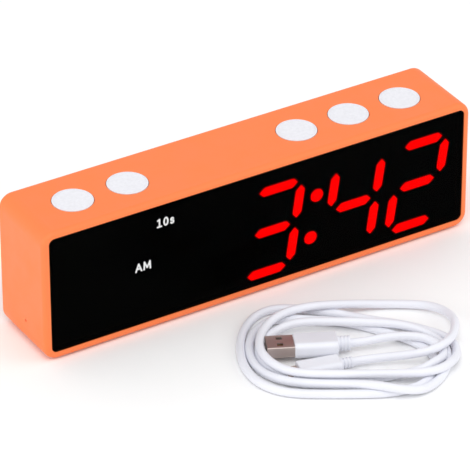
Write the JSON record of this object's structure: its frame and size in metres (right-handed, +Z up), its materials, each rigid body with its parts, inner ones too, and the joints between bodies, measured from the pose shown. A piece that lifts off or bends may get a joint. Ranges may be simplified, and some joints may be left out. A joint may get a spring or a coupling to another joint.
{
  "type": "alarm clock",
  "caption": "Low rectangular desk alarm clock with a black front panel, slanted red seven-segment time display, round top buttons and a separate coiled USB lead",
  "frame": {"origin": "on the table, under the middle of the clock's case (the loose lead isn't counted)", "axes": "+X to the right along the case as the display is read, +Y to the back, +Z up"},
  "size_m": [0.2, 0.1351, 0.0598],
  "materials": {
    "case_plastic": "fine satin texture",
    "cap_plastic": "satin",
    "lens_plastic": "gloss, smoked",
    "gasket_foam": "matt foam tape",
    "frame_plastic": "matt",
    "lit_red": "glowing diffuser",
    "unlit_dark": "dark diffuser",
    "label_white": "satin",
    "board_green": "solder mask",
    "chip_black": "matt",
    "led_body": "gloss",
    "steel": "zinc plated",
    "plug_shell_metal": "nickel plated",
    "contact_brass": "gold flash",
    "plug_insert": "matt",
    "cord_jacket": "satin",
    "cell_wrap": "shrink film",
    "inner_plastic": "moulded",
    "wire_red": "wire jacket",
    "rubber_black": "matt",
    "ribbon_grey": "flat cable"
  },
  "bodies": {
    "clock": {"case_shell": "case_plastic", "rear_cover": "case_plastic", "rear_cover_screws": "steel", "rubber_feet": "rubber_black", "front_lens": "lens_plastic", "lens_gasket": "gasket_foam", "display_frame": "frame_plastic", "hour_tens_unlit": "unlit_dark", "hour_ones_lit": "lit_red", "hour_ones_unlit": "unlit_dark", "minute_tens_lit": "lit_red", "minute_tens_unlit": "unlit_dark", "minute_ones_lit": "lit_red", "minute_ones_unlit": "unlit_dark", "colon_dots": "lit_red", "am_indicator": "label_white", "ten_second_indicator": "label_white", "display_board": "board_green", "display_leds": "led_body", "display_screws": "steel", "main_board": "board_green", "main_board_screws": "steel", "mcu_chip": "chip_black", "driver_chip": "chip_black", "usb_port_shell": "steel", "usb_port_tongue": "chip_black", "display_header": "chip_black", "buzzer": "chip_black", "board_sockets": "led_body", "button_ribbon": "ribbon_grey", "battery_cell": "cell_wrap", "battery_cradle": "inner_plastic", "battery_leads": "wire_red", "microphone": "steel", "microphone_boot": "rubber_black", "microphone_leads": "wire_red", "button_board": "board_green", "button_board_screws": "steel", "switch_housings": "chip_black"},
    "button_1": {"button_cap_1": "cap_plastic", "switch_plunger_1": "inner_plastic"},
    "button_2": {"button_cap_2": "cap_plastic", "switch_plunger_2": "inner_plastic"},
    "button_3": {"button_cap_3": "cap_plastic", "switch_plunger_3": "inner_plastic"},
    "button_4": {"button_cap_4": "cap_plastic", "switch_plunger_4": "inner_plastic"},
    "button_5": {"button_cap_5": "cap_plastic", "switch_plunger_5": "inner_plastic"},
    "lead": {"usb_a_shell": "plug_shell_metal", "usb_a_tongue": "plug_insert", "usb_a_contacts": "contact_brass", "usb_a_grip": "cord_jacket", "small_plug_shell": "plug_shell_metal", "small_plug_tongue": "plug_insert", "small_plug_grip": "cord_jacket", "lead_coil": "cord_jacket", "lead_tail_usb_a": "cord_jacket", "lead_tail_small_plug": "cord_jacket"}
  },
  "joints": [
    {"name": "button_1_press", "type": "slide", "parent": "clock", "child": "button_1", "axis": [0, 0, -1], "range_m": [0, 0.0005], "stiffness_N_per_m": 3200, "springref_m": -0.0001},
    {"name": "button_2_press", "type": "slide", "parent": "clock", "child": "button_2", "axis": [0, 0, -1], "range_m": [0, 0.0005], "stiffness_N_per_m": 3200, "springref_m": -0.0001},
    {"name": "button_3_press", "type": "slide", "parent": "clock", "child": "button_3", "axis": [0, 0, -1], "range_m": [0, 0.0005], "stiffness_N_per_m": 3200, "springref_m": -0.0001},
    {"name": "button_4_press", "type": "slide", "parent": "clock", "child": "button_4", "axis": [0, 0, -1], "range_m": [0, 0.0005], "stiffness_N_per_m": 3200, "springref_m": -0.0001},
    {"name": "button_5_press", "type": "slide", "parent": "clock", "child": "button_5", "axis": [0, 0, -1], "range_m": [0, 0.0005], "stiffness_N_per_m": 3200, "springref_m": -0.0001},
    {"name": "lead_lift", "type": "slide", "parent": "clock", "child": "lead", "axis": [0, 0, 1], "range_m": [0, 0.09]}
  ]
}
